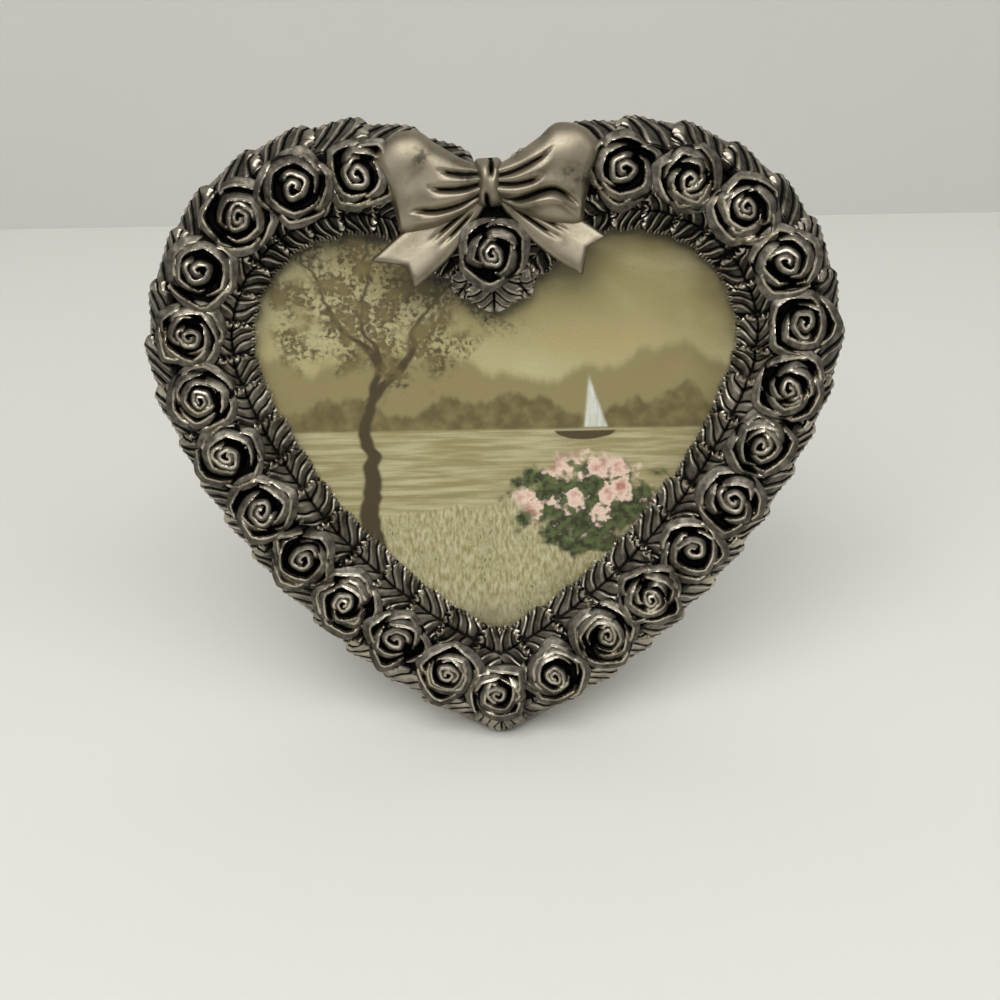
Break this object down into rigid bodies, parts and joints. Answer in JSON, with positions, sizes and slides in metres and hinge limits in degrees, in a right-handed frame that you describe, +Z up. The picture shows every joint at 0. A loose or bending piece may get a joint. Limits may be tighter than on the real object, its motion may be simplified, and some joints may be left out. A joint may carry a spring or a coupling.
{
  "type": "heart shaped photo frame",
  "caption": "Heart shaped cast metal photo frame ringed with roses and leaves under a ribbon bow, glazed, with a folding easel leg and turn buttons behind.",
  "frame": {"origin": "middle of the flat foot at the heart's tip, on the table", "axes": "+X to the right of someone who looks at the picture, +Y to the back where the leg stands, +Z up"},
  "size_m": [0.1384, 0.0576, 0.1214],
  "materials": {
    "pewter": "antiqued cast pewter, satin bright on the high points and dark in the recesses",
    "glass": "clear polished flat glass",
    "print": "sepia toned, hand tinted paper print",
    "card": "grey brown pressed board",
    "velvet": "short black velvet pile",
    "steel": "bright zinc plated stamped steel"
  },
  "bodies": {
    "frame": {"rim": "pewter", "outer_leaves": "pewter", "inner_leaves": "pewter", "roses": "pewter", "bow_rose": "pewter", "bow_leaves": "pewter", "bow_loops": "pewter", "bow_knot": "pewter", "bow_tails": "pewter", "glass": "glass", "picture_print": "print", "filler_card": "card", "backing_board": "card", "backing_velvet": "velvet", "turn_button_washers": "steel", "turn_button_screws": "steel", "hinge_board_leaf": "steel", "hinge_pin": "steel", "board_rivets": "steel"},
    "leg": {"easel_leg": "card", "leg_velvet": "velvet", "hinge_leg_leaf": "steel", "leg_rivets": "steel"},
    "button_lower_left": {"turn_button_lower_left": "steel"},
    "button_lower_right": {"turn_button_lower_right": "steel"},
    "button_upper_left": {"turn_button_upper_left": "steel"},
    "button_upper_right": {"turn_button_upper_right": "steel"}
  },
  "joints": [
    {"name": "easel_hinge", "type": "hinge", "parent": "frame", "child": "leg", "pos_m": [0, 0.02391, 0.07146], "axis": [1, 0, 0], "range_deg": [-30, 0]},
    {"name": "turn_button_lower_left_pivot", "type": "hinge", "parent": "frame", "child": "button_lower_left", "pos_m": [-0.03868, 0.01324, 0.03974], "axis": [0, 0.9659, -0.2588], "continuous": true},
    {"name": "turn_button_lower_right_pivot", "type": "hinge", "parent": "frame", "child": "button_lower_right", "pos_m": [0.03868, 0.01324, 0.03974], "axis": [0, 0.9659, -0.2588], "continuous": true},
    {"name": "turn_button_upper_left_pivot", "type": "hinge", "parent": "frame", "child": "button_upper_left", "pos_m": [-0.0459, 0.02988, 0.10187], "axis": [0, 0.9659, -0.2588], "continuous": true},
    {"name": "turn_button_upper_right_pivot", "type": "hinge", "parent": "frame", "child": "button_upper_right", "pos_m": [0.0459, 0.02988, 0.10187], "axis": [0, 0.9659, -0.2588], "continuous": true}
  ]
}
